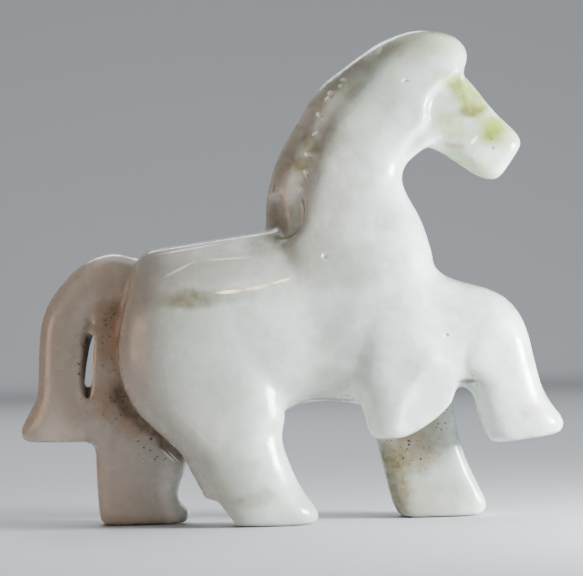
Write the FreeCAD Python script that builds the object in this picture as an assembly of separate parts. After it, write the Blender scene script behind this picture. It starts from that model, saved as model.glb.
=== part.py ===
import FreeCAD, Part
import os
from FreeCAD import Vector

"""Small jade horse, carved in the round from one flat slab of stone, as eleven named members.

Units are millimetres. +X is the way the horse looks, +Y is its left side, +Z is up.
The origin is on the ground, under the middle of the carving.

A member is a loft through stations. A station is a flat, rounded oval between two points of the
carving's outline, so the outline is read in the XZ plane and the slab's thickness along Y.
Every member is kept to its own share of the slab. A share is cut straight through along Y,
so two neighbours meet on one common face.
"""

SLAB_HALF = 6.5          # half the slab's thickness, at the barrel
LEG_MIDDLE = 3.3         # distance of a leg's middle plane from the slab's middle plane
LEG_HALF = 2.95          # half the thickness of a leg
HAUNCH_HALF = 3.3        # half the thickness of a leg where it grows out of the trunk
NECK_HALF = 4.3
MANE_HALF = 2.5
POLL_HALF = 3.6
FACE_HALF = 2.7
TAIL_MIDDLE = 0.2
TAIL_HALF = 2.4
RAISED_MIDDLE = -1.6     # the raised foreleg swings a little to the right of the slab's middle
RAISED_HALF = 2.8
SOLE_INSET = 0.3         # rounding of a hoof's edge at the ground
SHARE_HALF = 9.0         # the shares reach past both sides of the slab

# One half of a station's oval as a cubic B-spline: poles across the outline and out of the slab.
OVAL_POLES = ((1, 0), (1, 0.5), (0.7, 1.033), (-0.7, 1.033), (-1, 0.5), (-1, 0))
OVAL_KNOTS = (0, 1, 2, 3)
OVAL_MULTIPLICITIES = (4, 1, 1, 4)


def half_oval(station, side):
    """Poles of one half of a station's oval, on the left (1) or right (-1) side of the slab.

    A station is two points of the XZ outline, the oval's middle along Y and half its thickness.
    """
    edge_a, edge_b, middle_y, half_y = station
    a = Vector(edge_a[0], middle_y, edge_a[1])
    b = Vector(edge_b[0], middle_y, edge_b[1])
    across = (b - a) * 0.5
    out = Vector(0, half_y * side, 0)
    return [(a + b) * 0.5 + across * u + out * v for u, v in OVAL_POLES]


def middle(station):
    """The middle of a station's oval."""
    poles = half_oval(station, 1)
    return (poles[0] + poles[-1]) * 0.5


def flat_end(station):
    """The planar face inside a station's oval."""
    edges = []
    for side in (1, -1):
        curve = Part.BSplineCurve()
        curve.buildFromPolesMultsKnots(half_oval(station, side), OVAL_MULTIPLICITIES, OVAL_KNOTS, False, 3)
        edges.append(curve.toShape())
    return Part.Face(Part.Wire(edges))


def flank(stations, lengths, side):
    """One smooth face through the halves of all the stations' ovals."""
    rows = [half_oval(station, side) for station in stations]
    tracks = []
    for column in zip(*rows):
        track = Part.BSplineCurve()
        track.interpolate(Points=list(column), Parameters=lengths)
        tracks.append(track)
    surface = Part.BSplineSurface()
    surface.buildFromPolesMultsKnots(
        [track.getPoles() for track in tracks], OVAL_MULTIPLICITIES, tracks[0].getMultiplicities(),
        OVAL_KNOTS, tracks[0].getKnots(), False, False, 3, tracks[0].Degree)
    return surface.toShape()


def member(stations):
    """A solid skinned over a list of stations, with flat ends."""
    lengths = [0.0]
    for before, after in zip(stations, stations[1:]):
        lengths.append(lengths[-1] + (middle(after) - middle(before)).Length)
    faces = [flank(stations, lengths, side) for side in (1, -1)]
    faces += [flat_end(stations[0]), flat_end(stations[-1])]
    shell = Part.makeShell(faces)
    shell.sewShape()
    solid = Part.makeSolid(Part.Shell(shell.Faces))
    if solid.Volume < 0:
        solid.reverse()
    return solid


def share(border, rest, y_min=-SHARE_HALF, y_max=SHARE_HALF):
    """A prism along Y: a smooth border through XZ points, closed by straight lines."""
    points = [Vector(x, y_min, z) for x, z in border]
    curve = Part.BSplineCurve()
    curve.interpolate(Points=points)
    corners = [points[-1]] + [Vector(x, y_min, z) for x, z in rest] + [points[0]]
    outline = Part.Wire([curve.toShape()] + Part.makePolygon(corners).Edges)
    return Part.Face(outline).extrude(Vector(0, y_max - y_min, 0))


def face():
    """Face and muzzle: a thin wedge that steps in from the poll and the cheek."""
    clay = member([
        ((14.2, 43.0), (11.0, 36.4), 0, FACE_HALF + 0.4),
        ((15.6, 41.8), (12.4, 35.2), 0, FACE_HALF + 0.4),
        ((17.3, 40.4), (14.1, 34.2), 0, FACE_HALF + 0.2),
        ((18.9, 38.3), (15.7, 33.1), 0, FACE_HALF),
        ((20.4, 36.6), (17.2, 32.0), 0, FACE_HALF - 0.3),
        ((21.5, 35.2), (18.6, 31.4), 0, FACE_HALF - 0.6),
        ((21.7, 34.1), (20.0, 31.9), 0, FACE_HALF - 1.4),
    ])
    return clay, share(
        [(18.4, 42.1), (16.8, 41.1), (15.0, 40.0), (13.8, 39.0), (13.1, 37.5), (12.5, 36.0), (12.3, 33.0)],
        [(12.3, 30.0), (24.0, 30.0), (24.0, 42.1)])


def poll():
    """Poll, ears and forelock in one rounded cap over the head."""
    clay = member([
        ((7.0, 42.4), (11.2, 33.6), 0, POLL_HALF),
        ((8.6, 43.6), (12.4, 34.6), 0, POLL_HALF + 0.1),
        ((10.6, 44.8), (13.8, 36.0), 0, POLL_HALF),
        ((13.0, 45.0), (15.2, 37.8), 0, POLL_HALF - 0.1),
        ((15.2, 44.65), (16.2, 39.6), 0, POLL_HALF - 0.5),
        ((16.6, 43.9), (16.9, 41.0), 0, POLL_HALF - 1.3),
        ((17.2, 43.0), (17.15, 42.1), 0, POLL_HALF - 2.4),
    ])
    return clay, share(
        [(8.2, 46.5), (9.2, 43.0), (10.6, 39.8), (11.9, 37.4), (13.0, 35.6)],
        [(20.0, 35.6), (20.0, 46.5)])


def mane():
    """The roached mane: a thin band down the rear edge of the neck."""
    clay = member([
        ((-2.9, 25.0), (2.0, 24.4), 0, MANE_HALF + 0.3),
        ((-2.3, 27.0), (2.4, 26.6), 0, MANE_HALF + 0.3),
        ((-2.0, 29.0), (3.0, 28.8), 0, MANE_HALF + 0.2),
        ((-1.3, 31.8), (3.6, 31.2), 0, MANE_HALF),
        ((0.0, 34.8), (4.8, 33.4), 0, MANE_HALF),
        ((1.8, 37.8), (6.4, 35.4), 0, MANE_HALF),
        ((4.0, 40.6), (8.0, 37.4), 0, MANE_HALF),
        ((6.8, 42.5), (10.0, 39.0), 0, MANE_HALF),
        ((9.0, 43.9), (11.8, 40.2), 0, MANE_HALF - 0.3),
    ])
    return clay, share(
        [(-3.6, 27.1), (-2.3, 26.8), (-0.6, 26.4), (0.8, 26.8), (1.6, 28.6), (2.0, 31.2), (2.8, 34.4),
         (4.4, 37.6), (6.8, 40.4), (8.8, 42.8), (9.4, 46.5)],
        [(-6.0, 46.5), (-6.0, 27.1)])


def neck():
    """Neck and cheek without the mane's band."""
    clay = member([
        ((-2.8, 22.0), (13.9, 21.6), 0, NECK_HALF + 1.5),
        ((-2.4, 24.0), (13.8, 23.6), 0, NECK_HALF + 1.2),
        ((-2.3, 26.6), (13.0, 26.0), 0, NECK_HALF + 0.8),
        ((-0.4, 29.6), (11.5, 29.3), 0, NECK_HALF + 0.3),
        ((0.4, 32.6), (10.8, 31.6), 0, NECK_HALF),
        ((1.6, 36.0), (11.2, 33.0), 0, NECK_HALF - 0.2),
        ((3.4, 39.4), (12.4, 34.4), 0, NECK_HALF - 0.3),
        ((6.0, 42.2), (14.0, 35.6), 0, NECK_HALF - 0.5),
        ((9.2, 44.0), (15.6, 37.6), 0, NECK_HALF - 0.7),
    ])
    return clay, share(
        [(-3.6, 28.2), (-2.4, 26.8), (-1.0, 25.8), (1.5, 24.9), (5.0, 24.2), (9.0, 23.6), (12.5, 23.1),
         (15.6, 22.5)],
        [(15.6, 46.5), (-3.6, 46.5)])


def right_hind_leg():
    """Thigh, hock and hoof of the right hind leg, which steps forward under the belly."""
    clay = member([
        ((-14.9, 20.8), (-3.0, 22.0), -LEG_MIDDLE, HAUNCH_HALF - 0.4),
        ((-15.5, 18.4), (-1.4, 18.8), -LEG_MIDDLE, HAUNCH_HALF - 0.1),
        ((-15.75, 15.4), (-0.7, 15.2), -LEG_MIDDLE, HAUNCH_HALF),
        ((-15.2, 12.2), (-0.5, 11.6), -LEG_MIDDLE, HAUNCH_HALF),
        ((-13.6, 9.6), (-0.6, 9.6), -LEG_MIDDLE, HAUNCH_HALF - 0.2),
        ((-11.2, 7.6), (-0.9, 8.0), -LEG_MIDDLE, HAUNCH_HALF - 0.3),
        ((-9.7, 5.8), (-0.4, 6.2), -LEG_MIDDLE, LEG_HALF),
        ((-8.9, 4.0), (0.4, 4.2), -LEG_MIDDLE, LEG_HALF),
        ((-7.2, 2.4), (1.4, 2.6), -LEG_MIDDLE, LEG_HALF),
        ((-6.0, 1.1), (2.2, 1.1), -LEG_MIDDLE, LEG_HALF),
        ((-5.2, 0.0), (2.0, 0.0), -LEG_MIDDLE, LEG_HALF - SOLE_INSET),
    ])
    return clay, share(
        [(-17.0, 18.6), (-13.0, 16.6), (-8.0, 14.4), (-3.0, 12.2), (0.6, 9.4)],
        [(4.0, 9.4), (4.0, -1.0), (-17.0, -1.0)], -SHARE_HALF, 0)


def left_hind_leg():
    """Haunch, thigh, hock and hoof of the left hind leg, which stands back."""
    clay = member([
        ((-14.6, 23.2), (-7.0, 23.4), LEG_MIDDLE, HAUNCH_HALF - 0.7),
        ((-16.6, 21.0), (-5.0, 20.6), LEG_MIDDLE, HAUNCH_HALF - 0.2),
        ((-17.7, 18.0), (-3.6, 16.8), LEG_MIDDLE, HAUNCH_HALF),
        ((-18.0, 14.6), (-3.4, 13.2), LEG_MIDDLE, HAUNCH_HALF),
        ((-18.15, 11.2), (-5.0, 10.2), LEG_MIDDLE, HAUNCH_HALF - 0.2),
        ((-18.2, 8.2), (-8.2, 8.0), LEG_MIDDLE, LEG_HALF + 0.1),
        ((-18.2, 5.5), (-9.8, 5.5), LEG_MIDDLE, LEG_HALF),
        ((-18.2, 3.0), (-10.6, 2.8), LEG_MIDDLE, LEG_HALF),
        ((-18.1, 1.3), (-10.0, 1.2), LEG_MIDDLE, LEG_HALF),
        ((-17.8, 0.0), (-10.2, 0.0), LEG_MIDDLE, LEG_HALF - SOLE_INSET),
    ])
    return clay, share(
        [(-20.0, 21.4), (-16.5, 20.2), (-12.0, 17.6), (-7.0, 14.6), (-3.5, 12.4), (-1.6, 9.4)],
        [(-1.6, -1.0), (-20.0, -1.0)], 0, SHARE_HALF)


def right_shoulder():
    """The bulge of the right shoulder and elbow, which carries the raised foreleg."""
    clay = member([
        ((4.2, 19.5), (14.8, 19.0), -LEG_MIDDLE, LEG_HALF + 0.2),
        ((5.2, 15.5), (15.2, 15.0), -LEG_MIDDLE, HAUNCH_HALF),
        ((6.3, 11.4), (15.2, 11.8), -LEG_MIDDLE, HAUNCH_HALF - 0.1),
        ((6.9, 9.6), (13.6, 9.6), -LEG_MIDDLE, LEG_HALF - 0.2),
        ((7.6, 7.8), (10.6, 7.8), -LEG_MIDDLE, LEG_HALF - 1.2),
    ])
    return clay, share(
        [(3.6, 9.4), (5.4, 12.2), (8.2, 13.6), (11.5, 13.7), (14.2, 12.9), (15.6, 11.4)],
        [(15.6, 6.0), (3.6, 6.0)], -SHARE_HALF, 0)


def left_foreleg():
    """Forearm, cannon and hoof of the left foreleg, which stands straight."""
    clay = member([
        ((4.6, 18.5), (15.2, 18.0), LEG_MIDDLE, HAUNCH_HALF - 0.2),
        ((6.0, 13.5), (15.2, 13.5), LEG_MIDDLE, HAUNCH_HALF),
        ((7.2, 9.6), (15.2, 10.2), LEG_MIDDLE, LEG_HALF + 0.1),
        ((8.0, 6.8), (15.6, 7.4), LEG_MIDDLE, LEG_HALF),
        ((8.5, 4.4), (16.4, 4.8), LEG_MIDDLE, LEG_HALF),
        ((9.0, 2.2), (17.5, 2.4), LEG_MIDDLE, LEG_HALF),
        ((9.4, 0.9), (17.9, 1.0), LEG_MIDDLE, LEG_HALF),
        ((10.2, 0.0), (17.4, 0.0), LEG_MIDDLE, LEG_HALF - SOLE_INSET),
    ])
    return clay, share(
        [(3.6, 9.4), (5.4, 12.2), (8.2, 13.6), (11.5, 13.7), (14.2, 12.9), (15.6, 11.4)],
        [(19.0, 9.0), (19.0, -1.0), (3.6, -1.0)], 0, SHARE_HALF)


def right_foreleg():
    """Forearm, bent knee and hoof of the raised right foreleg."""
    clay = member([
        ((11.4, 23.2), (12.0, 12.0), -0.4, NECK_HALF + 0.7),
        ((13.0, 22.8), (13.6, 12.0), -0.6, NECK_HALF + 0.4),
        ((15.6, 22.0), (15.4, 12.0), -0.9, NECK_HALF - 0.1),
        ((18.4, 21.2), (16.4, 12.0), -1.3, NECK_HALF - 0.6),
        ((20.8, 19.7), (16.8, 11.4), -1.5, RAISED_HALF + 0.5),
        ((22.2, 17.0), (17.0, 10.8), RAISED_MIDDLE, RAISED_HALF + 0.3),
        ((22.9, 14.0), (17.2, 10.2), RAISED_MIDDLE, RAISED_HALF + 0.1),
        ((23.3, 12.0), (17.35, 9.5), RAISED_MIDDLE, RAISED_HALF),
        ((24.1, 10.3), (17.55, 8.7), RAISED_MIDDLE, RAISED_HALF - 0.1),
        ((25.0, 8.9), (17.9, 7.8), RAISED_MIDDLE, RAISED_HALF - 0.1),
        ((24.6, 7.6), (18.5, 7.0), RAISED_MIDDLE, RAISED_HALF - 0.4),
    ])
    return clay, share(
        [(14.2, 24.5), (14.3, 22.0), (14.5, 18.0), (14.8, 14.0), (15.2, 11.4)],
        [(15.2, 5.0), (28.0, 5.0), (28.0, 24.5)])


def tail():
    """The tail: out from the croup, down behind the left hind leg and joined to it at the hock."""
    clay = member([
        ((-12.5, 24.9), (-13.2, 20.4), TAIL_MIDDLE, TAIL_HALF),
        ((-15.2, 25.1), (-15.4, 20.5), TAIL_MIDDLE, TAIL_HALF),
        ((-17.6, 24.9), (-17.3, 20.5), TAIL_MIDDLE, TAIL_HALF),
        ((-20.0, 23.4), (-18.6, 20.1), TAIL_MIDDLE, TAIL_HALF),
        ((-21.9, 21.2), (-19.2, 19.0), TAIL_MIDDLE, TAIL_HALF),
        ((-22.9, 18.8), (-19.4, 17.6), TAIL_MIDDLE, TAIL_HALF),
        ((-23.2, 15.6), (-19.5, 15.2), TAIL_MIDDLE, TAIL_HALF),
        ((-23.4, 12.6), (-19.5, 12.4), TAIL_MIDDLE, TAIL_HALF),
        ((-24.2, 10.8), (-18.4, 10.8), TAIL_MIDDLE, TAIL_HALF),
        ((-25.0, 9.2), (-17.0, 9.2), TAIL_MIDDLE, TAIL_HALF),
        ((-24.4, 8.0), (-16.8, 7.9), TAIL_MIDDLE, TAIL_HALF - 0.4),
    ])
    return clay, share(
        [(-13.0, 27.0), (-13.4, 24.6), (-14.2, 22.6), (-15.2, 20.4), (-15.8, 17.0)],
        [(-15.8, 5.0), (-28.0, 5.0), (-28.0, 27.0)])


def trunk():
    """Barrel, croup and chest: what is left of the slab's middle. It has no share of its own."""
    clay = member([
        ((-15.6, 18.5), (-15.6, 13.5), 0, 2.6),
        ((-15.0, 21.8), (-15.0, 12.0), 0, 4.6),
        ((-13.4, 24.7), (-13.2, 10.2), 0, 5.9),
        ((-10.0, 25.9), (-9.8, 9.6), 0, SLAB_HALF),
        ((-5.0, 26.4), (-4.4, 10.2), 0, SLAB_HALF),
        ((0.5, 26.9), (1.2, 10.9), 0, SLAB_HALF - 0.2),
        ((6.0, 26.6), (6.2, 10.8), 0, SLAB_HALF - 0.1),
        ((11.2, 25.4), (10.6, 10.6), 0, SLAB_HALF - 0.2),
        ((14.0, 22.9), (13.4, 11.4), 0, 5.3),
        ((15.8, 21.3), (15.4, 12.6), 0, 3.8),
    ])
    return clay, None


def kept(shape):
    """The one solid that counts, without the crumbs that a cut can leave."""
    return max(shape.Solids, key=lambda solid: solid.Volume)


def carve(makers):
    """Each member inside its own share and outside the shares of those before it."""
    taken = []
    done = {}
    for maker in makers:
        solid, space = maker()
        if space:
            solid = solid.common(space)
        for earlier in taken:
            if solid.BoundBox.intersect(earlier.BoundBox):
                solid = solid.cut(earlier)
        if space:
            taken.append(space)
        done[maker.__name__] = kept(solid)
    return done


def main():
    os.makedirs("parts", exist_ok=True)
    members = carve([face, poll, mane, neck, right_hind_leg, left_hind_leg,
                     right_shoulder, left_foreleg, right_foreleg, trunk])
    clay, space = tail()
    members["tail"] = kept(clay.common(space).cut(members["left_hind_leg"]))
    members["trunk"] = kept(members["trunk"].cut(space))
    for name, solid in members.items():
        solid.exportStep(os.path.join("parts", name + ".step"))
        box = solid.BoundBox
        print(f"{name:16} valid {solid.isValid()}  volume {solid.Volume:8.1f} mm3  "
              f"X {box.XMin:6.1f} {box.XMax:6.1f}  Y {box.YMin:5.1f} {box.YMax:5.1f}  "
              f"Z {box.ZMin:5.1f} {box.ZMax:5.1f}")


main()
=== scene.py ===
import math

import bmesh
import bpy
from mathutils import Matrix, Vector


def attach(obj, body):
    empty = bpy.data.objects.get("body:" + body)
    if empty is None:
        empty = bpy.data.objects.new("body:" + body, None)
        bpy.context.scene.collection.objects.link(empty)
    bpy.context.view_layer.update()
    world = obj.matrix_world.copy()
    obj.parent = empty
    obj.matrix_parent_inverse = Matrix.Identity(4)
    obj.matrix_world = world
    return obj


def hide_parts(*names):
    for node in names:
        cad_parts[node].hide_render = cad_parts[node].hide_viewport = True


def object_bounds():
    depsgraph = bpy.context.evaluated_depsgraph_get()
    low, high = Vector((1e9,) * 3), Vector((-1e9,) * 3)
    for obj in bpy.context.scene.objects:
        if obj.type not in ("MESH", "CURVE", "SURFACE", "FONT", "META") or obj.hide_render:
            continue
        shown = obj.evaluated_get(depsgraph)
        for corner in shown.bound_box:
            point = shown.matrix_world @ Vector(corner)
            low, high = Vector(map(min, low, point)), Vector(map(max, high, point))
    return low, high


# A small horse carved from one slab of pale jade, on a plain studio floor.
# The stone is blocked out as clay: each member is a rounded section drawn out through stations,
# the members are fused and softened where a carver would polish them into each other,
# and the last cuts are made with wheels, as they are on the real stone.

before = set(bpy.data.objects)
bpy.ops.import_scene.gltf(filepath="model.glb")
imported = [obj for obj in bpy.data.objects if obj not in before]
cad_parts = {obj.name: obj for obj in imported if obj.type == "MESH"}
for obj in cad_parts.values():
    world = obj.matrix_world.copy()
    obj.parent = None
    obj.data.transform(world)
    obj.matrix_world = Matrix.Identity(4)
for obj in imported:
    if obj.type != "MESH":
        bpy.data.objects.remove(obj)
CAD_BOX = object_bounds()

LOW, HIGH = (Vector(corner) for corner in CAD_BOX)
LENGTH = HIGH.x - LOW.x
MM = LENGTH / 50.0                       # the design's millimetre
FOOT = Vector(((LOW.x + HIGH.x) / 2, (LOW.y + HIGH.y) / 2, LOW.z))

EASE_STEPS = 3                           # rings between two stations
COARSE_CLAY = 0.30 * MM                  # voxel of the members that are polished together
FINE_CLAY = 0.245 * MM                   # voxel of the finished stone
NICK_CLAY = 0.07 * MM                    # voxel of the joined nick wheels

# The curl at the foot of the mane: an arc of nicks round a middle in X and Z.
CURL_MIDDLE = (-0.25, 28.6)
CURL_RADII = (2.0, 2.4)
CURL_WHEEL = (0.6, 0.08, 0.2)
CURL_START = math.radians(30)
CURL_TURN = math.radians(-125)
CURL_STEPS = 9
# Nicks along the front of the mane: middle, half length, depth and half width, tilt.
MANE_NICKS = (
    ((9.0, 43.2), (0.50, 0.24, 0.20), 0.9),
    ((5.7, 40.6), (0.42, 0.24, 0.18), 0.1),
    ((5.35, 40.0), (0.22, 0.18, 0.16), 0.6),
    ((4.5, 39.3), (0.42, 0.34, 0.30), -0.7),
    ((4.2, 38.8), (0.34, 0.26, 0.24), 0.3),
    ((3.4, 37.4), (0.50, 0.26, 0.18), -0.6),
    ((3.0, 35.7), (0.42, 0.22, 0.15), 0.5),
    ((2.3, 33.7), (0.48, 0.26, 0.18), -0.6),
    ((2.05, 32.05), (0.50, 0.26, 0.18), -1.0),
    ((1.5, 30.4), (0.42, 0.26, 0.20), 1.2),
)
# Chips and flaws of the skin: middle, half length, depth and half width, tilt.
SKIN_FLAWS = (
    ((-1.0, 30.8), (0.5, 0.3, 0.25), 1.2),
    ((3.5, 24.5), (0.3, 0.2, 0.3), 0.0),
    ((14.35, 17.0), (0.28, 0.15, 0.2), 0.0),
    ((11.3, 40.3), (0.35, 0.15, 0.16), 0.0),
    ((-4.1, 21.55), (1.7, 0.12, 0.14), 0.1),
    ((-1.2, 22.05), (1.8, 0.12, 0.14), 0.25),
)

# Colours of the stone and of its painted shade and light, linear.
MILK = (0.71, 0.76, 0.742)
MIST_AND_SHADE = (0.4, 0.46, 0.43)
GREEN_WHITE = (0.42, 0.5, 0.33)
GREY_STONE_AND_SHADE = (0.33, 0.31, 0.27)
BEIGE_SHADE = (0.41, 0.35, 0.29)
OLIVE = (0.1, 0.078, 0.008)
LEAF = (0.24, 0.31, 0.02)
TAN = (0.26, 0.17, 0.09)
DIRT = (0.085, 0.05, 0.018)
CREAM = (1.0, 0.86, 0.58)
CHALK_AND_LIGHT = (0.98, 0.98, 0.95)
RUST_AND_SHADE = (0.2, 0.085, 0.035)
SPECK = (0.015, 0.015, 0.01)
THROUGH = 60.0                           # a stain goes right through the slab
GLOW_DEPTH = 0.5 * MM                    # how deep light wanders under the skin
RELIEF = 0.06 * MM                       # depth of the polisher's unevenness
WANDER = ((0.45, 1.3), (2.2, 0.35))      # clouds per millimetre, and millimetres that a stain strays

# Stains and painted shade: paint, strength, middle in X and Z, half length and half width, tilt in degrees.
STAINS_AND_SHADE = (
    # The misty patches on barrel, chest and forearm: a grey-green stone tone and painted shade, darkening
    # these flat faces against those turned to the light.
    (MIST_AND_SHADE, 0.5, (-5.0, 16.0), (11.0, 9.0), 0),
    (MIST_AND_SHADE, 0.4, (9.0, 19.0), (4.5, 5.5), 0),
    (MIST_AND_SHADE, 0.4, (16.5, 18.0), (3.2, 3.2), 0),
    (OLIVE, 0.75, (-8.9, 21.0), (4.2, 1.3), 5),
    (OLIVE, 0.30, (-5.0, 21.0), (3.5, 0.9), 8),
    (GREY_STONE_AND_SHADE, 0.6, (-5.0, 23.6), (9.0, 1.8), 6),
    (GREY_STONE_AND_SHADE, 0.6, (2.5, 24.0), (6.5, 4.5), 0),
    # The neck darker towards the mane: painted shade on the side away from the light.
    (GREY_STONE_AND_SHADE, 0.7, (4.2, 31.0), (4.2, 9.0), -12),
    (GREY_STONE_AND_SHADE, 0.4, (8.2, 38.0), (5.0, 4.0), 50),
    (GREY_STONE_AND_SHADE, 0.35, (2.5, 12.5), (6.0, 2.6), 0),
    (OLIVE, 0.55, (-1.6, 26.0), (3.6, 1.7), 15),
    (OLIVE, 0.5, (-0.6, 28.2), (2.4, 2.4), 40),
    (TAN, 0.42, (0.2, 31.0), (2.8, 5.0), -15),
    (TAN, 0.38, (1.5, 34.4), (2.6, 4.4), -25),
    (TAN, 0.4, (3.8, 38.4), (4.4, 2.6), 50),
    (OLIVE, 0.4, (6.4, 41.0), (3.2, 1.9), 35),
    (TAN, 0.5, (6.8, 42.4), (2.0, 0.9), 35),
    (OLIVE, 0.6, (2.5, 34.8), (1.2, 1.5), 0),
    (OLIVE, 0.6, (1.5, 33.0), (1.3, 1.1), 0),
    (OLIVE, 0.35, (4.6, 35.6), (1.6, 2.8), -30),
    (OLIVE, 0.3, (6.6, 39.6), (1.6, 1.2), 30),
    # Grey strokes across the mane's band: painted shade of grooves between the locks, which are not cut.
    (GREY_STONE_AND_SHADE, 0.45, (7.4, 42.0), (1.9, 0.4), 118),
    (GREY_STONE_AND_SHADE, 0.45, (6.0, 41.0), (1.9, 0.4), 123),
    (GREY_STONE_AND_SHADE, 0.6, (4.4, 39.9), (1.8, 0.4), 132),
    (GREY_STONE_AND_SHADE, 0.6, (2.9, 38.2), (1.8, 0.4), 140),
    (GREY_STONE_AND_SHADE, 0.6, (1.9, 36.2), (1.8, 0.4), 147),
    (GREEN_WHITE, 1.0, (13.0, 43.8), (6.0, 2.0), 0),
    (GREY_STONE_AND_SHADE, 0.7, (11.6, 43.1), (4.6, 1.3), 5),
    (LEAF, 0.8, (15.9, 40.2), (1.8, 1.4), 0),
    (LEAF, 0.95, (17.3, 38.4), (3.4, 1.8), -48),
    (OLIVE, 0.75, (17.3, 37.4), (2.2, 0.9), 5),
    (LEAF, 0.9, (19.3, 35.5), (2.2, 1.6), 50),
    (OLIVE, 0.75, (19.15, 35.3), (1.0, 0.7), 30),
    (LEAF, 0.6, (20.2, 35.0), (2.0, 3.0), 40),
    (LEAF, 0.5, (15.2, 36.0), (3.0, 1.8), -30),
    (LEAF, 0.6, (17.0, 32.6), (3.4, 0.9), -31),
    (LEAF, 0.3, (17.5, 35.5), (4.5, 3.5), -45),
    (RUST_AND_SHADE, 0.5, (15.65, 34.2), (1.2, 0.4), -25),
    (OLIVE, 0.35, (-3.6, 2.6), (3.4, 1.1), 8),
    (TAN, 0.3, (22.0, 10.0), (2.0, 0.8), 0),
)
# The same, with painted shade and painted light, for the tail and the left legs, which stand behind.
STAINS_AND_LIGHT_BEHIND = (
    (TAN, 0.9, (-15.2, 10.6), (5.2, 2.6), -43),
    (DIRT, 1.0, (-15.4, 12.0), (2.6, 1.5), -55),
    (DIRT, 1.0, (-13.4, 9.4), (3.8, 1.3), -42),
    (DIRT, 0.9, (-11.2, 7.2), (2.8, 1.0), -45),
    (DIRT, 0.8, (-18.8, 15.8), (0.7, 5.0), -3),
    (DIRT, 0.7, (-15.7, 16.0), (1.0, 6.0), 4),
    (TAN, 0.8, (-16.4, 18.5), (2.2, 5.5), 0),
    # A rust-brown strip down the rounded rear edge of the left hind leg: painted shade.
    (RUST_AND_SHADE, 0.85, (-18.5, 5.0), (0.7, 4.6), 0),
    # Paler over the left hind hoof: painted light that lifts the shadow cast there by the right hind leg.
    (CHALK_AND_LIGHT, 0.35, (-11.0, 3.0), (1.6, 4.5), 0),
    (GREY_STONE_AND_SHADE, 0.5, (11.0, 6.8), (4.2, 3.8), 20),
    (OLIVE, 0.75, (10.6, 6.4), (4.4, 3.8), 20),
    (TAN, 0.35, (12.0, 6.4), (5.0, 4.0), 0),
    (OLIVE, 0.3, (13.8, 9.6), (2.6, 2.6), 30),
    (OLIVE, 0.85, (9.6, 3.2), (2.0, 5.2), 8),
    (TAN, 0.4, (12.4, 1.8), (5.5, 2.8), 0),
)
# Where black grains gather: middle, half length and half width, strength.
SPECKLED = (
    ((16.3, 12.4), (1.6, 1.6), 0.8),
    ((5.2, 11.4), (2.2, 0.8), 0.7),
    ((19.2, 34.4), (0.7, 1.2), 0.9),
)
SPECKLED_BEHIND = (
    ((11.2, 6.4), (3.6, 3.4), 1.0),
    ((14.2, 9.0), (1.8, 2.2), 1.0),
    ((-15.4, 11.2), (3.0, 2.8), 1.0),
    ((-12.6, 7.4), (2.6, 2.2), 1.0),
    ((-16.6, 17.0), (1.6, 4.0), 0.7),
    ((-18.9, 15.0), (1.2, 6.0), 1.0),
    ((-15.6, 20.0), (1.8, 1.6), 0.6),
)
# Small marks and painted highlights that don't wander: paint, strength, middle, half length and half width,
# tilt in degrees.
FINE_MARKS_AND_HIGHLIGHTS = (
    (CREAM, 1.0, (-5.2, 21.45), (1.6, 0.22), 3),
    (CREAM, 1.0, (-2.7, 21.75), (1.9, 0.20), 9),
    (CREAM, 1.0, (-0.6, 22.25), (1.2, 0.20), 17),
    # Pale lines along the top edge of the back and along its facet edges: painted highlights.
    (CHALK_AND_LIGHT, 0.7, (-8.9, 25.45), (3.8, 0.13), 8.7),
    (CHALK_AND_LIGHT, 0.35, (-9.8, 23.6), (2.2, 0.16), 26),
    (CHALK_AND_LIGHT, 0.35, (-5.5, 24.45), (2.6, 0.15), 2),
    (CHALK_AND_LIGHT, 0.8, (17.45, 34.7), (0.7, 0.2), 50),
    (SPECK, 0.8, (19.1, 34.85), (0.16, 0.13), 0),
    (SPECK, 0.8, (19.25, 34.0), (0.15, 0.2), 0),
    (CHALK_AND_LIGHT, 0.8, (3.5, 24.5), (0.32, 0.32), 0),
    (CHALK_AND_LIGHT, 0.6, (-11.4, 6.4), (1.1, 0.12), -45),
    (CHALK_AND_LIGHT, 0.5, (-10.9, 6.3), (1.0, 0.10), -48),
    (CHALK_AND_LIGHT, 0.5, (11.3, 40.3), (0.4, 0.2), 0),
    (TAN, 0.5, (-4.7, 2.5), (0.5, 0.25), 0),
    (DIRT, 0.7, (0.5, 10.75), (1.6, 0.2), 25),
    (DIRT, 0.7, (3.8, 11.3), (2.8, 0.2), -3),
    (DIRT, 0.7, (16.2, 12.7), (1.2, 0.3), 0),
)

COOL = (0.94, 0.97, 1.0)
HORSE = (0.0, 0.0, 0.020)                # what most lamps look at
# Lamps: name, place, what it looks at, size, power and colour.
LAMPS = (
    ("window", (0.100, -0.038, 0.024), HORSE, (0.040, 0.022), 0.33, (0.95, 0.98, 1.0)),
    ("front", (0.080, -0.100, 0.060), HORSE, (0.09, 0.09), 0.022, (1.0, 0.98, 0.94)),
    ("overhead", (0.000, 0.100, 0.550), (0.0, 0.100, 0.0), (0.50, 0.50), 1.0, COOL),
    ("rear", (-0.050, 0.300, 0.260), HORSE, (0.16, 0.16), 0.30, COOL),
    ("backdrop", (0.000, 0.350, 0.350), (0.0, 0.950, 0.120), (0.40, 0.15), 0.9, COOL),
    ("warm_fill", (-0.14, -0.10, 0.03), HORSE, (0.10, 0.06), 0.045, (1.0, 0.62, 0.44)),
)
BEAM = math.radians(130)                 # how wide a lamp throws its light
SKY = (0.94, 0.96, 1.0, 1)
DAYLIGHT = 0.13
PAPER = (0.54, 0.56, 0.58, 1)
FLOOR_REACH = 0.55                       # where the floor starts to sweep up
SWEEP_RADIUS = 0.5
SWEEP_TURN = math.radians(75)
SWEEP_STEPS = 8

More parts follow.
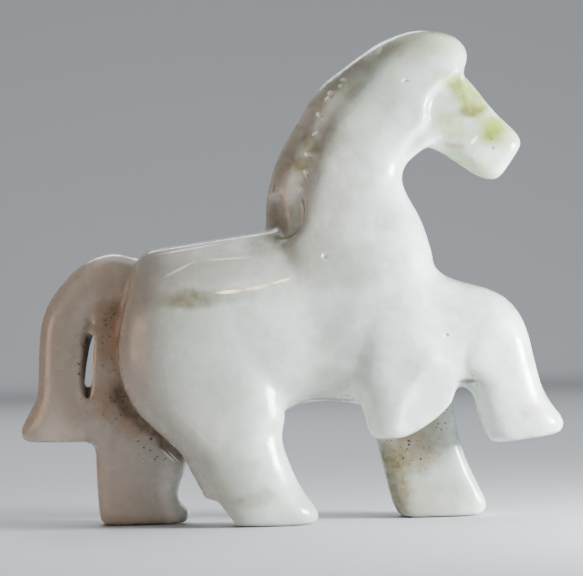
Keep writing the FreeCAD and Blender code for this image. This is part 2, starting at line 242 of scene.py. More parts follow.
LENS = 200                               # millimetres, on a 36 mm wide sensor
EYE = Vector((0.39 * MM, -0.300, 21.64 * MM))
EYE_ROLL = math.radians(-1.55)


# ---------------------------------------------------------------- hand tools

def deselect():
    """Nothing selected, so that an operator works only on what is picked next."""
    if bpy.context.object and bpy.context.object.mode != "OBJECT":
        bpy.ops.object.mode_set(mode="OBJECT")
    bpy.ops.object.select_all(action="DESELECT")


def pick(*pieces):
    """Select these objects, the first one active."""
    deselect()
    for piece in pieces:
        piece.select_set(True)
    bpy.context.view_layer.objects.active = pieces[0]
    return pieces[0]


def spot(x, z, y=0.0):
    """A point of the design in the frame, from millimetres along X, Z and Y."""
    return FOOT + Vector((x, y, z)) * MM


def finish_with(piece, kind, **settings):
    """Add one modifier to a piece and apply it."""
    pick(piece)
    modifier = piece.modifiers.new(kind.title(), kind)
    for name, value in settings.items():
        setattr(modifier, name, value)
    bpy.ops.object.modifier_apply(modifier=modifier.name)
    return piece


def fused(name, pieces, voxel):
    """One closed skin round several pieces of clay."""
    piece = pick(*pieces)
    if len(pieces) > 1:
        bpy.ops.object.join()
    piece.name = name
    return finish_with(piece, "REMESH", mode="VOXEL", voxel_size=voxel, adaptivity=0.0)


def softened(piece, turns, strength=0.5, where=None):
    """Polish a piece. where gives how much, from 0 to 1, at a vertex."""
    settings = {"factor": strength, "iterations": turns}
    if where:
        group = piece.vertex_groups.new(name="polish")
        for vertex in piece.data.vertices:
            amount = where(vertex.co)
            if amount > 0:
                group.add([vertex.index], amount, "REPLACE")
        settings["vertex_group"] = group.name
    finish_with(piece, "SMOOTH", **settings)
    if where:
        piece.vertex_groups.remove(piece.vertex_groups["polish"])
    return piece


def ground_away(piece, *cutters):
    """Take the cutters' space out of a piece, and put the cutters away."""
    for cutter in cutters:
        finish_with(piece, "BOOLEAN", operation="DIFFERENCE", object=cutter, solver="EXACT")
        bpy.data.objects.remove(cutter)
    return piece


def lap(at, facing, size):
    """A flat grinding lap: a block whose working face goes through a point and faces a direction."""
    deselect()
    facing = Vector(facing).normalized()
    bpy.ops.mesh.primitive_cube_add(
        size=1, scale=(size[0] * MM, size[1] * MM, size[2] * MM),
        rotation=facing.to_track_quat("Z", "Y").to_euler(), location=spot(*at) + facing * size[2] * MM / 2)
    bpy.ops.object.transform_apply(location=True, rotation=True, scale=True)
    return bpy.context.object


def wheel(at, radii, tilt=0.0):
    """A lens-shaped grinding wheel: radii along the cut, out of the slab and across the cut."""
    deselect()
    bpy.ops.mesh.primitive_uv_sphere_add(
        segments=32, ring_count=20, radius=1, scale=[r * MM for r in radii],
        rotation=(0, -tilt, 0), location=spot(*at))
    bpy.ops.object.transform_apply(location=True, rotation=True, scale=True)
    return bpy.context.object


def saw(outline, y_start, y_end, spread=(1.0, 1.0), about=None):
    """A saw's cut: an XZ outline carried along Y, growing in X and Z about a point on its way."""
    deselect()
    bpy.ops.mesh.primitive_circle_add(vertices=len(outline), radius=1, fill_type="NGON", enter_editmode=True)
    mesh = bmesh.from_edit_mesh(bpy.context.object.data)
    for vertex, (x, z) in zip(mesh.verts, outline):
        vertex.co = spot(x, z, y_start)
    bmesh.update_edit_mesh(bpy.context.object.data)
    bpy.ops.mesh.select_all(action="SELECT")
    bpy.ops.mesh.extrude_region_move(TRANSFORM_OT_translate={"value": (0, (y_end - y_start) * MM, 0)})
    if about:
        bpy.ops.transform.resize(value=(spread[0], 1, spread[1]), center_override=spot(*about, y_end))
    bpy.ops.mesh.select_all(action="SELECT")
    bpy.ops.mesh.normals_make_consistent(inside=False)
    bpy.ops.object.mode_set(mode="OBJECT")
    return bpy.context.object


# ---------------------------------------------------------------- clay

def eased(stations):
    """The stations with rings between them, on a smooth path through every one of them."""
    rows = [(*a, *b, y, half) for a, b, y, half in stations]
    padded = [rows[0]] + rows + [rows[-1]]
    path = []
    for before, here, after, beyond in zip(padded, padded[1:], padded[2:], padded[3:]):
        for step in range(EASE_STEPS):
            t = step / EASE_STEPS
            path.append(tuple(
                0.5 * (2 * p1 + (p2 - p0) * t + (2 * p0 - 5 * p1 + 4 * p2 - p3) * t * t
                       + (3 * p1 - p0 - 3 * p2 + p3) * t ** 3)
                for p0, p1, p2, p3 in zip(before, here, after, beyond)))
    return path + [rows[-1]]


def ring_of(row):
    """Centre, half width, half thickness and tilt of one ring."""
    ax, az, bx, bz, y, half = row
    centre = spot((ax + bx) / 2, (az + bz) / 2, y)
    return centre, math.hypot(bx - ax, bz - az) / 2 * MM, half * MM, math.atan2(bz - az, bx - ax)


def clay(name, stations, corner=0.8):
    """One member: a rounded section drawn out through its stations.

    A station is the two points where the outline is cut, the section's middle along Y and half its
    thickness. corner is how much of the section's half width its rounded corners take.
    """
    deselect()
    rings = [ring_of(row) for row in eased(stations)]
    centre, width, half, tilt = rings[0]
    bpy.ops.mesh.primitive_plane_add(size=2, enter_editmode=True, location=(0, 0, 0))
    bpy.ops.mesh.bevel(offset=corner, segments=5, affect="VERTICES")
    bpy.ops.transform.resize(value=(width, half, 1), center_override=(0, 0, 0))
    bpy.ops.transform.rotate(value=tilt, orient_axis="Y", center_override=(0, 0, 0))
    bpy.ops.transform.translate(value=centre)
    for before, after in zip(rings, rings[1:]):
        centre = after[0]
        bpy.ops.mesh.extrude_region_move(TRANSFORM_OT_translate={"value": centre - before[0]})
        bpy.ops.transform.rotate(value=-before[3], orient_axis="Y", center_override=centre)
        growth = (after[1] / before[1], after[2] / before[2], 1)
        bpy.ops.transform.resize(value=growth, center_override=centre)
        bpy.ops.transform.rotate(value=after[3], orient_axis="Y", center_override=centre)
    bpy.ops.mesh.select_all(action="SELECT")
    bpy.ops.mesh.normals_make_consistent(inside=False)
    bpy.ops.object.mode_set(mode="OBJECT")
    piece = bpy.context.object
    piece.name = name
    return finish_with(piece, "SUBSURF", levels=1, render_levels=1)


def trunk():
    """Barrel, croup and chest."""
    return clay("clay_trunk", [
        ((-14.9, 19.5), (-14.9, 14.5), 0, 2.8),
        ((-14.6, 22.2), (-14.6, 12.6), 0, 4.6),
        ((-13.6, 24.8), (-13.4, 10.6), 0, 5.7),
        ((-12.0, 25.9), (-11.6, 9.8), 0, 6.1),
        ((-10.0, 26.45), (-9.6, 9.5), 0, 6.3),
        ((-6.0, 26.85), (-5.0, 9.9), 0, 6.3),
        ((-2.6, 27.1), (-1.0, 10.2), 0, 6.1),
        ((1.5, 27.0), (1.5, 11.0), 0, 5.8),
        ((5.0, 27.0), (4.0, 11.1), 0, 6.0),
        ((8.5, 26.4), (6.5, 10.7), 0, 6.2),
        ((11.5, 24.8), (9.5, 10.4), 0, 6.2),
        ((13.6, 23.2), (12.5, 10.8), 0, 5.6),
        ((15.4, 21.6), (14.8, 11.9), 0, 4.4),
    ])


def neck():
    """Neck, cheek and the rounded cap of poll and forelock."""
    return clay("clay_neck", [
        ((-2.0, 21.0), (13.6, 20.5), 0, 5.9),
        ((-1.9, 24.0), (13.5, 23.9), 0, 5.5),
        ((-1.0, 26.8), (13.0, 26.0), 0, 5.0),
        ((0.4, 28.8), (12.3, 28.0), 0, 4.7),
        ((1.2, 31.0), (11.1, 30.2), 0, 4.4),
        ((1.9, 33.2), (10.8, 31.7), 0, 4.2),
        ((2.6, 35.8), (11.4, 33.0), 0, 4.1),
        ((4.2, 38.5), (13.0, 34.2), 0, 4.0),
        ((6.6, 41.2), (15.6, 35.7), 0, 3.9),
        ((9.2, 43.9), (17.0, 37.4), 0, 3.8),
        ((11.7, 44.95), (17.2, 39.2), 0, 3.7),
        ((14.0, 45.0), (16.7, 40.8), 0, 3.5),
        ((16.1, 44.35), (16.95, 41.75), 0, 2.7),
        ((17.15, 43.2), (17.2, 42.35), 0, 1.3),
    ], corner=0.55)


def mane():
    """The roached mane, a thinner band down the rear edge of the neck."""
    return clay("clay_mane", [
        ((-2.2, 25.6), (2.6, 24.6), 0, 3.5),
        ((-2.3, 27.2), (2.8, 26.6), 0, 3.4),
        ((-2.0, 29.0), (3.2, 28.6), 0, 3.4),
        ((-1.5, 31.0), (3.6, 30.2), 0, 3.4),
        ((-0.9, 33.0), (4.2, 31.6), 0, 3.4),
        ((0.1, 35.0), (5.1, 33.0), 0, 3.4),
        ((1.4, 37.0), (6.2, 34.6), 0, 3.4),
        ((3.1, 39.8), (7.6, 36.6), 0, 3.4),
        ((6.0, 42.05), (9.4, 38.6), 0, 3.3),
        ((9.0, 44.05), (11.0, 40.0), 0, 3.1),
        ((10.8, 44.75), (12.2, 41.5), 0, 2.8),
    ])


def face():
    """Face and muzzle, a wedge that steps in from the cap and the cheek."""
    return clay("clay_face", [
        ((13.4, 43.2), (10.0, 36.6), 0, 2.4),
        ((15.6, 41.8), (12.3, 34.6), 0, 2.45),
        ((16.95, 40.7), (13.6, 34.3), 0, 2.45),
        ((18.1, 39.3), (15.2, 33.4), 0, 2.45),
        ((19.5, 37.45), (16.8, 32.2), 0, 2.4),
        ((20.85, 36.1), (18.0, 31.5), 0, 2.25),
        ((21.75, 35.1), (19.0, 31.15), 0, 2.0),
        ((21.95, 34.2), (19.9, 31.3), 0, 1.6),
    ], corner=0.6)


def right_hind_leg():
    """Haunch, thigh, hock and hoof of the right hind leg, which steps forward."""
    return clay("clay_right_hind_leg", [
        ((-14.2, 22.6), (-4.0, 23.6), -3.0, 2.6),
        ((-14.9, 20.4), (-2.6, 21.0), -3.3, 3.1),
        ((-15.4, 18.2), (-1.8, 18.2), -3.35, 3.25),
        ((-15.65, 16.0), (-1.3, 15.4), -3.35, 3.3),
        ((-15.4, 13.6), (-0.9, 12.6), -3.35, 3.3),
        ((-14.3, 11.0), (-0.5, 10.2), -3.35, 3.2),
        ((-12.6, 9.15), (-0.7, 8.9), -3.35, 3.15),
        ((-11.1, 7.75), (-0.9, 8.0), -3.35, 3.1),
        ((-9.95, 6.5), (-0.6, 6.8), -3.35, 3.05),
        ((-9.4, 5.3), (-0.1, 5.3), -3.35, 3.0),
        ((-8.7, 3.9), (0.6, 3.7), -3.35, 2.95),
        ((-8.2, 2.9), (1.3, 2.6), -3.35, 2.95),
        ((-7.8, 2.0), (1.9, 1.8), -3.35, 2.95),
        ((-7.4, 1.2), (2.35, 0.95), -3.35, 2.9),
        ((-7.0, 0.5), (2.35, 0.35), -3.35, 2.8),
        ((-6.8, 0.0), (2.0, 0.0), -3.35, 2.7),
    ])


def left_hind_leg():
    """Haunch, thigh, hock and hoof of the left hind leg, which stands back."""
    return clay("clay_left_hind_leg", [
        ((-13.5, 23.6), (-6.0, 23.0), 2.2, 3.5),
        ((-16.2, 21.2), (-4.5, 20.2), 2.0, 4.0),
        ((-17.7, 18.6), (-3.4, 17.0), 2.0, 4.2),
        ((-18.15, 16.0), (-3.0, 13.5), 2.1, 4.2),
        ((-18.4, 13.0), (-4.2, 11.0), 2.2, 4.1),
        ((-18.4, 9.6), (-6.5, 8.8), 2.45, 3.85),
        ((-18.25, 7.0), (-9.4, 6.8), 2.8, 3.4),
        ((-18.25, 5.0), (-10.0, 4.8), 3.05, 3.1),
        ((-18.2, 3.2), (-10.6, 3.1), 3.15, 2.95),
        ((-18.15, 2.0), (-10.6, 2.0), 3.15, 2.95),
        ((-18.1, 1.2), (-9.7, 1.1), 3.15, 2.95),
        ((-18.0, 0.5), (-9.6, 0.6), 3.15, 2.85),
        ((-17.7, 0.0), (-9.9, 0.0), 3.15, 2.7),
    ], corner=0.4)


def right_shoulder():
    """The bulge of the right shoulder and elbow."""
    return clay("clay_right_shoulder", [
        ((4.0, 21.5), (14.5, 21.0), -2.9, 2.9),
        ((4.4, 18.5), (14.8, 18.0), -3.2, 3.1),
        ((5.0, 15.2), (15.0, 15.0), -3.3, 3.2),
        ((5.8, 12.6), (15.1, 12.6), -3.3, 3.1),
        ((6.5, 10.6), (14.9, 11.0), -3.3, 3.0),
        ((6.85, 9.3), (13.2, 9.3), -3.2, 2.8),
        ((7.1, 8.3), (11.6, 8.3), -3.15, 2.6),
        ((7.4, 7.65), (10.2, 7.6), -3.1, 2.3),
    ])


def right_foreleg():
    """The raised right foreleg: forearm, bent knee and hoof."""
    return clay("clay_right_foreleg", [
        ((10.5, 23.4), (11.0, 11.6), -0.3, 5.2),
        ((13.2, 22.9), (13.4, 11.8), -0.6, 4.9),
        ((15.4, 22.0), (15.2, 12.1), -0.9, 4.5),
        ((17.5, 21.4), (16.0, 12.3), -1.1, 4.1),
        ((19.5, 20.6), (16.4, 12.0), -1.4, 3.8),
        ((21.05, 19.1), (16.75, 11.5), -1.5, 3.5),
        ((21.95, 17.0), (16.95, 11.0), -1.6, 3.3),
        ((22.4, 15.0), (17.05, 10.5), -1.6, 3.2),
        ((22.8, 13.2), (17.15, 10.0), -1.6, 3.05),
        ((23.2, 11.8), (17.25, 9.5), -1.6, 3.0),
        ((23.9, 10.5), (17.4, 9.0), -1.6, 2.95),
        ((24.8, 9.3), (17.65, 8.3), -1.6, 2.9),
        ((25.1, 8.6), (18.0, 7.7), -1.6, 2.85),
        ((24.9, 7.95), (18.15, 7.15), -1.6, 2.75),
        ((24.4, 7.6), (18.45, 6.9), -1.6, 2.6),
    ], corner=0.7)


def left_foreleg():
    """Forearm, cannon and hoof of the left foreleg, which stands."""
    return clay("clay_left_foreleg", [
        ((4.6, 18.5), (14.8, 18.0), 3.1, 3.1),
        ((6.0, 13.5), (15.1, 13.5), 3.2, 3.1),
        ((7.0, 10.0), (15.15, 10.6), 3.2, 3.05),
        ((7.7, 7.8), (15.45, 8.0), 3.2, 3.0),
        ((8.1, 6.3), (15.9, 6.2), 3.2, 2.95),
        ((8.5, 4.6), (16.5, 4.5), 3.2, 2.95),
        ((8.9, 2.8), (17.2, 3.0), 3.2, 2.95),
        ((9.2, 1.6), (17.85, 1.6), 3.2, 2.95),
        ((9.6, 0.6), (18.0, 0.8), 3.2, 2.9),
        ((10.2, 0.0), (17.5, 0.0), 3.2, 2.7),
    ], corner=0.35)


def tail():
    """The tail: out from the croup, down, and into the left hind leg at the hock."""
    return clay("clay_tail", [
        ((-11.5, 24.6), (-12.2, 20.2), 0.2, 2.4),
        ((-13.9, 24.8), (-14.2, 20.3), 0.2, 2.4),
        ((-15.8, 25.3), (-15.8, 20.5), 0.2, 2.4),
        ((-17.6, 24.95), (-17.2, 20.2), 0.2, 2.4),
        ((-19.2, 24.15), (-18.2, 19.8), 0.2, 2.4),
        ((-20.6, 22.8), (-18.6, 19.2), 0.2, 2.4),
        ((-21.9, 21.2), (-18.8, 18.6), 0.2, 2.4),
        ((-22.7, 19.4), (-18.9, 17.9), 0.2, 2.4),
        ((-23.05, 17.4), (-18.95, 16.9), 0.2, 2.4),
        ((-23.2, 15.0), (-19.0, 15.0), 0.2, 2.4),
        ((-23.3, 13.1), (-19.3, 13.2), 0.2, 2.4),
        ((-23.5, 11.9), (-18.8, 12.2), 0.2, 2.4),
        ((-24.1, 10.9), (-17.6, 11.2), 0.2, 2.4),
        ((-24.8, 9.6), (-17.0, 10.0), 0.2, 2.4),
        ((-25.05, 8.75), (-17.0, 8.9), 0.2, 2.3),
        ((-24.65, 8.0), (-17.2, 7.85), 0.2, 2.1),
    ], corner=0.7)


def web():
    """The web that joins the tail to the left haunch and hind leg, flush with both."""
    return clay("clay_web", [
        ((-20.4, 21.6), (-15.5, 21.6), 0.3, 2.3),
        ((-20.6, 18.0), (-16.2, 18.0), 0.3, 2.2),
        ((-20.8, 14.0), (-16.2, 14.0), 0.3, 2.2),
        ((-20.8, 10.5), (-16.2, 10.5), 0.4, 2.2),
        ((-20.0, 8.5), (-16.2, 8.2), 0.6, 2.1),
        ((-19.2, 8.1), (-16.8, 6.8), 0.9, 1.9),
    ], corner=0.4)


def left_side(point):
    """How far a vertex is on the left side, where all members are polished into each other."""
    return max(0.0, min(1.0, (point.y / MM - 0.5) / 2.0))


def around(x, z, wide, high):
    """A place to polish: how near a vertex is to a spot of the outline."""
    def nearness(point):
        off = (point - FOOT) / MM
        return max(0.0, min(1.0, 1.6 - math.hypot((off.x - x) / wide, (off.z - z) / high)))
    return nearness


def cut_head(piece):
    """The face is sawn thinner than the cheek and the cap, and its upper cheek is scooped."""
    for side in (-1, 1):
        ground_away(piece, saw([
            (17.6, 41.5), (15.9, 40.6), (14.5, 39.8), (13.6, 38.8), (13.25, 37.7), (13.3, 36.7), (12.7, 35.9),
            (11.9, 35.2), (11.2, 34.2), (10.7, 33.2), (10.4, 31.6), (14.0, 29.5), (24.0, 30.0), (24.0, 41.5),
        ], 2.4 * side, 7.0 * side, spread=(1.1, 1.1), about=(19.0, 34.0)))
        ground_away(piece, wheel((14.9, 38.2, 3.3 * side), (1.3, 1.4, 1.6), tilt=0.5))


def cut_mane(piece):
    """The mane's band is ground a little thinner than the neck, deepest at its lower end."""
    for side in (-1, 1):
        ground_away(piece, saw([
            (-0.9, 25.7), (0.2, 25.9), (1.1, 26.6), (1.65, 27.6), (1.85, 29.0), (1.75, 30.6), (2.2, 33.0),
            (3.2, 35.8), (4.6, 38.4), (6.4, 40.6), (8.6, 42.4), (9.4, 46.0),
            (-4.0, 46.0), (-4.0, 27.3), (-2.2, 26.6),
        ], 3.5 * side, 8.0 * side, spread=(1.05, 1.05), about=(-3.0, 36.0)))


def cut_back(piece):
    """The flat ground along the top of the back, and the soft facets below it."""
    ground_away(piece, lap((-8.6, 26.02), (-0.13, -0.05, 1.0), (13.5, 14.0, 3.0)))
    for side in (-1, 1):
        ground_away(piece, lap((-7.6, 24.2, 5.35 * side), (-0.13, 0.74 * side, 0.66), (10.0, 6.0, 3.0)))


def cut_shoulder(piece):
    """The polished facet under the right elbow."""
    ground_away(piece, lap((11.4, 11.2, -5.9), (0.42, -0.86, -0.29), (9.0, 15.0, 4.0)))


def cut_hocks(piece):
    """The heel of the right hind hoof, cut back under the hock."""
    ground_away(piece, saw([(-6.85, 2.45), (-5.0, -0.1), (-5.0, -2.0), (-9.5, -2.0), (-9.5, 2.8)], -9.0, 1.0))


def cut_tail(piece):
    """The groove between the tail and the left haunch, on both sides."""
    for side in (-1, 1):
        ground_away(piece, saw([
            (-17.95, 19.4), (-18.1, 16.0), (-18.35, 12.1), (-18.7, 11.8),
            (-18.95, 13.0), (-18.85, 15.5), (-18.3, 19.2),
        ], 0.4 * side, 3.4 * side, spread=(1.7, 1.06), about=(-18.1, 15.6)))


def cut_slit(piece):
    """The slit that was drilled and sawn right through, beside the tail."""
    ground_away(piece, saw([
        (-17.9, 17.7), (-17.98, 16.4), (-18.12, 15.0), (-18.2, 13.4), (-18.45, 13.02), (-18.85, 13.02),
        (-19.05, 13.35), (-18.85, 14.8), (-18.5, 16.6), (-18.15, 17.7)], -9.0, 9.0))


def skin_at(piece, x, z, side):
    """How far out of the slab the skin is at a point of the outline, on the left (1) or right (-1)."""
    found, place, _, _ = piece.ray_cast(spot(x, z, 20.0 * side), Vector((0, -side, 0)))
    return (place - FOOT).y / MM if found else 0.0


def nicked(piece):
    """The nicks that mark off the mane, its curl, and the flaws of the skin."""
    curl = []
    for step in range(CURL_STEPS):
        turn = CURL_START + CURL_TURN * step / (CURL_STEPS - 1)
        x = CURL_MIDDLE[0] + CURL_RADII[0] * math.cos(turn)
        z = CURL_MIDDLE[1] + CURL_RADII[1] * math.sin(turn)
        curl.append(((x, z), CURL_WHEEL, turn + math.pi / 2))
    marks = []
    for side in (-1, 1):
        for (x, z), radii, tilt in (*MANE_NICKS, *curl):
            marks.append(wheel((x, z, skin_at(piece, x, z, side)), radii, tilt))
    for (x, z), radii, tilt in SKIN_FLAWS:
        marks.append(wheel((x, z, skin_at(piece, x, z, -1)), radii, tilt))
    cutter = pick(*marks)
    bpy.ops.object.join()
    finish_with(cutter, "REMESH", mode="VOXEL", voxel_size=NICK_CLAY, adaptivity=0.0)
    return ground_away(piece, cutter)


def stone():
    """The whole carving as one closed skin."""
    near = fused("near", [trunk(), neck(), mane(), right_hind_leg(), right_shoulder(), right_foreleg()],
                 COARSE_CLAY)
    cut_shoulder(near)
    softened(near, 12)
    softened(near, 90, where=around(15.0, 17.0, 2.4, 3.8))
    for cut in (cut_head, cut_mane, cut_back, cut_hocks):
        cut(near)
    softened(near, 30, where=around(-0.8, 29.0, 1.3, 2.6))
    back = fused("back", [left_hind_leg(), tail(), web()], COARSE_CLAY)
    softened(back, 6)
    cut_tail(back)
    front = fused("front", [left_foreleg()], COARSE_CLAY)
    softened(front, 4)
    head = fused("head", [face()], COARSE_CLAY)
    softened(head, 4)
    whole = fused("jade_horse", [near, back, front, head], FINE_CLAY)
    softened(whole, 14, where=left_side)
    softened(whole, 5)
    cut_slit(whole)
    nicked(whole)
    return whole


# ---------------------------------------------------------------- material

def wired(tree, kind, inputs, out=0, **settings):
    """One shader node: its settings, its inputs by name as values or wires, and the wire it gives."""
    node = tree.nodes.new(kind)
    for name, value in settings.items():
        setattr(node, name, value)
    for name, value in inputs.items():
        if isinstance(value, bpy.types.NodeSocket):
            tree.links.new(value, node.inputs[name])
        else:
            node.inputs[name].default_value = value
    return node.outputs[out]


def noise(tree, place, scale, detail=3.0, out="Fac"):
    """Cloudy noise, with its scale in clouds per millimetre."""
    return wired(tree, "ShaderNodeTexNoise", {"Vector": place, "Scale": scale, "Detail": detail}, out=out)


def ramped(tree, value, low, high, to_low=0.0, to_high=1.0):
    """A value carried smoothly from one span to another, and kept inside it."""
    return wired(tree, "ShaderNodeMapRange", {
        "Value": value, "From Min": low, "From Max": high, "To Min": to_low, "To Max": to_high,
    }, interpolation_type="SMOOTHSTEP", clamp=True)


def sums(tree, operation, a, b):
    """Two values or wires put through one sum."""
    return wired(tree, "ShaderNodeMath", {0: a, 1: b}, operation=operation)


def patch(tree, place, middle, radii, tilt=0.0, core=0.3):
    """1 in the middle of an ellipse of the outline, right through the slab, and 0 at its edge."""
    inside = wired(tree, "ShaderNodeMapping", {
        "Vector": place, "Location": (middle[0], 0, middle[1]), "Rotation": (0, -tilt, 0),
        "Scale": (radii[0], THROUGH, radii[1])}, vector_type="TEXTURE")
    distance = wired(tree, "ShaderNodeVectorMath", {0: inside}, out="Value", operation="LENGTH")
    return ramped(tree, distance, core, 1.0, 1.0, 0.0)


def mixed(tree, a, b, amount):
    """Two colours mixed."""
    node = tree.nodes.new("ShaderNodeMix")
    node.data_type = "RGBA"
    for socket, value in ((node.inputs[0], amount), (node.inputs[6], a), (node.inputs[7], b)):
        if isinstance(value, bpy.types.NodeSocket):
            tree.links.new(value, socket)
        else:
            socket.default_value = value
    return node.outputs[2]


def stone_place(tree):
    """Millimetres of the design on the stone's own coordinates, and the same wandering like veins."""
    own = wired(tree, "ShaderNodeTexCoord", {}, out="Object")
    place = wired(tree, "ShaderNodeMapping", {"Vector": own, "Location": FOOT, "Scale": (MM, MM, MM)},
                  vector_type="TEXTURE")
    wander = place
    for scale, reach in WANDER:
        drift = wired(tree, "ShaderNodeVectorMath", {
            0: noise(tree, place, scale, 2.0, out="Color"), 1: (0.5, 0.5, 0.5)}, operation="SUBTRACT")
        wander = wired(tree, "ShaderNodeVectorMath", {0: drift, 1: (reach, reach, reach), 2: wander},
                       operation="MULTIPLY_ADD")
    return place, wander


def clouded_and_shaded(tree, wander):
    """The stone's colour: milky clouds with green wisps, with painted shade that greys it from the barrel
    back and warms it to beige towards the tail.
    """
    along = wired(tree, "ShaderNodeSeparateXYZ", {"Vector": wander}, out="X")
    clouds = ramped(tree, noise(tree, wander, 0.14), 0.35, 0.65)
    colour = mixed(tree, (*MILK, 1), (*MIST_AND_SHADE, 1), clouds)
    wisps = ramped(tree, noise(tree, wander, 0.7, 5.0), 0.42, 0.72, 0.0, 0.5)
    colour = mixed(tree, colour, (*GREEN_WHITE, 1), wisps)
    # Greyer from the front of the barrel back to the haunch: painted shade, darker away from the light on the
    # right.
    colour = mixed(tree, colour, (*GREY_STONE_AND_SHADE, 1), ramped(tree, along, 4.0, -14.0, 0.0, 0.8))
    # Beige past the haunch and over the tail: painted shade, tinted warm.
    return mixed(tree, colour, (*BEIGE_SHADE, 1), ramped(tree, along, -12.5, -16.5, 0.0, 0.75))


def stained_and_shaded(tree, place, wander, behind, colour):
    """The colour with its stain patches, painted shade and painted light, and how dirty the stone is."""
    mottle = ramped(tree, noise(tree, place, 1.6, 6.0), 0.3, 0.7, 0.65, 1.0)
    dirt = 0.0
    for stains_and_shade, depth in ((STAINS_AND_SHADE, 1.0), (STAINS_AND_LIGHT_BEHIND, behind)):
        for paint, amount, middle, radii, tilt in stains_and_shade:
            area = sums(tree, "MULTIPLY", patch(tree, wander, middle, radii, math.radians(tilt)), amount)
            area = sums(tree, "MULTIPLY", sums(tree, "MULTIPLY", area, mottle), depth)
            colour = mixed(tree, colour, (*paint, 1), area)
            if paint == DIRT:
                dirt = sums(tree, "ADD", area, dirt)
    return colour, dirt


def speckled(tree, place, wander, behind, colour):
    """The colour with its black grains."""
    grain = wired(tree, "ShaderNodeTexVoronoi", {"Vector": wander, "Scale": 2.2}, out="Distance")
    grains = ramped(tree, grain, 0.16, 0.30, 1.0, 0.0)
    chosen = ramped(tree, noise(tree, place, 1.1, 2.0), 0.38, 0.48)
    grains = sums(tree, "MULTIPLY", grains, chosen)
    for places, depth in ((SPECKLED, 1.0), (SPECKLED_BEHIND, behind)):
        for middle, radii, amount in places:
            area = sums(tree, "MULTIPLY", patch(tree, wander, middle, radii), amount)
            specks = sums(tree, "MULTIPLY", sums(tree, "MULTIPLY", grains, area), depth)
            colour = mixed(tree, colour, (*SPECK, 1), specks)
    return colour


def marked_and_highlighted(tree, place, colour):
    """The colour with its scratches, its vein, the painted highlights along the back and the pale bruises of
    the mane's nicks.
    """
    for paint, amount, middle, radii, tilt in FINE_MARKS_AND_HIGHLIGHTS:
        area = patch(tree, place, middle, radii, math.radians(tilt), 0.4)
        colour = mixed(tree, colour, (*paint, 1), sums(tree, "MULTIPLY", area, amount))
    for middle, (long, _, wide), tilt in MANE_NICKS:
        area = patch(tree, place, middle, (long * 1.1, wide * 1.25), tilt, 0.4)
        colour = mixed(tree, colour, (*CHALK_AND_LIGHT, 1), sums(tree, "MULTIPLY", area, 0.75))
    return colour


def relief(tree, place):
    """The slight unevenness of a hand-lapped surface: waves, pits and round strokes."""
    waves = noise(tree, place, 0.55, 2.0)
    pits = sums(tree, "MULTIPLY", noise(tree, place, 5.0, 3.0), 0.05)
    strokes = wired(tree, "ShaderNodeTexWave", {
        "Vector": place, "Scale": 0.95, "Distortion": 1.5, "Detail": 2.0, "Detail Scale": 1.5},
        out="Fac", wave_type="RINGS", rings_direction="Y")
    strokes = sums(tree, "MULTIPLY", strokes, 0.025)
    height = sums(tree, "ADD", sums(tree, "ADD", waves, pits), strokes)
    bump = {"Height": height, "Strength": 1.0, "Distance": RELIEF}
    return wired(tree, "ShaderNodeBump", bump, out="Normal")


def jade():
    """Polished white jade: milky and cloudy, olive and brown where stain runs through it, with dirt in its
    cuts, painted shade and painted highlights.
    """
    material = bpy.data.materials.new("jade")
    material.use_nodes = True
    tree = material.node_tree
    shader = tree.nodes["Principled BSDF"]
    place, wander = stone_place(tree)
    depth = wired(tree, "ShaderNodeSeparateXYZ", {"Vector": place}, out="Y")
    behind = ramped(tree, depth, -4.0, -2.6)

    colour, dirt = stained_and_shaded(tree, place, wander, behind, clouded_and_shaded(tree, wander))
    colour = speckled(tree, place, wander, behind, colour)
    tree.links.new(marked_and_highlighted(tree, place, colour), shader.inputs["Base Color"])

    uneven = ramped(tree, noise(tree, place, 0.8, 4.0), 0.3, 0.7, 0.19, 0.32)
    rough = sums(tree, "ADD", uneven, sums(tree, "MULTIPLY", dirt, 0.3))
    tree.links.new(rough, shader.inputs["Roughness"])
    tree.links.new(relief(tree, place), shader.inputs["Normal"])
    shader.inputs["IOR"].default_value = 1.55
    shader.inputs["Subsurface Weight"].default_value = 1.0
    shader.inputs["Subsurface Radius"].default_value = (1.0, 0.95, 0.85)
    shader.inputs["Subsurface Scale"].default_value = GLOW_DEPTH
    return material


# ---------------------------------------------------------------- studio

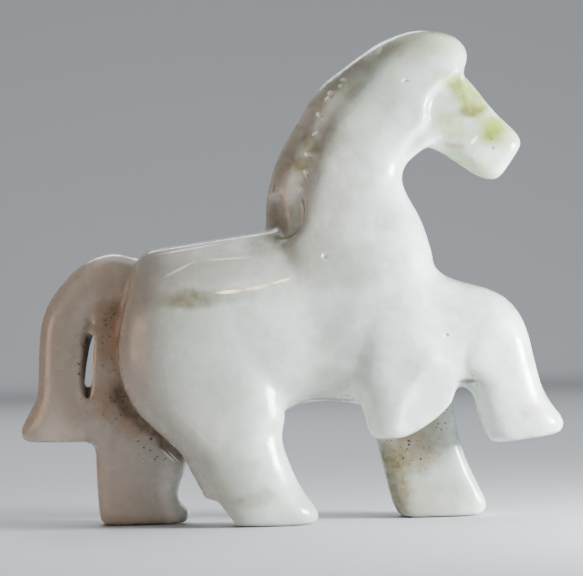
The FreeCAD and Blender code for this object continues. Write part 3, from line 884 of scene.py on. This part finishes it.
def bowl():
    """The pale floor, a wide disc whose rim sweeps up all round."""
    deselect()
    bpy.ops.mesh.primitive_circle_add(vertices=96, radius=FLOOR_REACH, fill_type="NGON", enter_editmode=True)
    reach, rise = FLOOR_REACH, 0.0
    for step in range(1, SWEEP_STEPS + 1):
        turn = SWEEP_TURN * step / SWEEP_STEPS
        further = FLOOR_REACH + SWEEP_RADIUS * math.sin(turn)
        higher = SWEEP_RADIUS * (1 - math.cos(turn))
        bpy.ops.mesh.select_mode(type="EDGE")
        if step == 1:
            bpy.ops.mesh.select_all(action="SELECT")
            bpy.ops.mesh.region_to_loop()
        bpy.ops.mesh.extrude_edges_move(TRANSFORM_OT_translate={"value": (0, 0, higher - rise)})
        growth = further / reach
        bpy.ops.transform.resize(value=(growth, growth, 1), center_override=(0, 0, higher))
        reach, rise = further, higher
    bpy.ops.object.mode_set(mode="OBJECT")
    bpy.ops.object.shade_smooth()
    floor = bpy.context.object
    floor.name = "floor"
    paper = bpy.data.materials.new("floor_paper")
    paper.use_nodes = True
    shader = paper.node_tree.nodes["Principled BSDF"]
    shader.inputs["Base Color"].default_value = PAPER
    shader.inputs["Roughness"].default_value = 0.85
    floor.data.materials.append(paper)


def lamp(name, place, target, size, power, colour):
    """A soft rectangular lamp that looks at a target."""
    data = bpy.data.lights.new(name, "AREA")
    data.shape = "RECTANGLE"
    data.size, data.size_y = size
    data.energy = power
    data.color = colour
    data.spread = BEAM
    stand = bpy.data.objects.new(name, data)
    bpy.context.scene.collection.objects.link(stand)
    stand.visible_camera = False
    stand.location = place
    stand.rotation_euler = (Vector(target) - Vector(place)).to_track_quat("-Z", "Y").to_euler()


def studio():
    """Weak daylight, a low window on the right, lamps above and behind, and a warm fill on the left."""
    world = bpy.data.worlds.new("studio")
    bpy.context.scene.world = world
    world.use_nodes = True
    background = world.node_tree.nodes["Background"]
    background.inputs["Color"].default_value = SKY
    background.inputs["Strength"].default_value = DAYLIGHT
    bowl()
    for settings in LAMPS:
        lamp(*settings)


def camera():
    """A long lens, level with the middle of the horse's right side."""
    data = bpy.data.cameras.new("camera")
    data.lens = LENS
    data.sensor_width = 36
    data.clip_start = 0.01
    view = bpy.data.objects.new("camera", data)
    bpy.context.scene.collection.objects.link(view)
    level = Matrix.Rotation(math.pi / 2, 4, "X")
    view.matrix_world = Matrix.Translation(EYE) @ level @ Matrix.Rotation(EYE_ROLL, 4, "Z")
    bpy.context.scene.camera = view


horse = stone()
horse.data.materials.clear()
horse.data.materials.append(jade())
pick(horse)
bpy.ops.object.shade_smooth_by_angle(angle=math.radians(50))
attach(horse, "root")
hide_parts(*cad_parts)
studio()
camera()
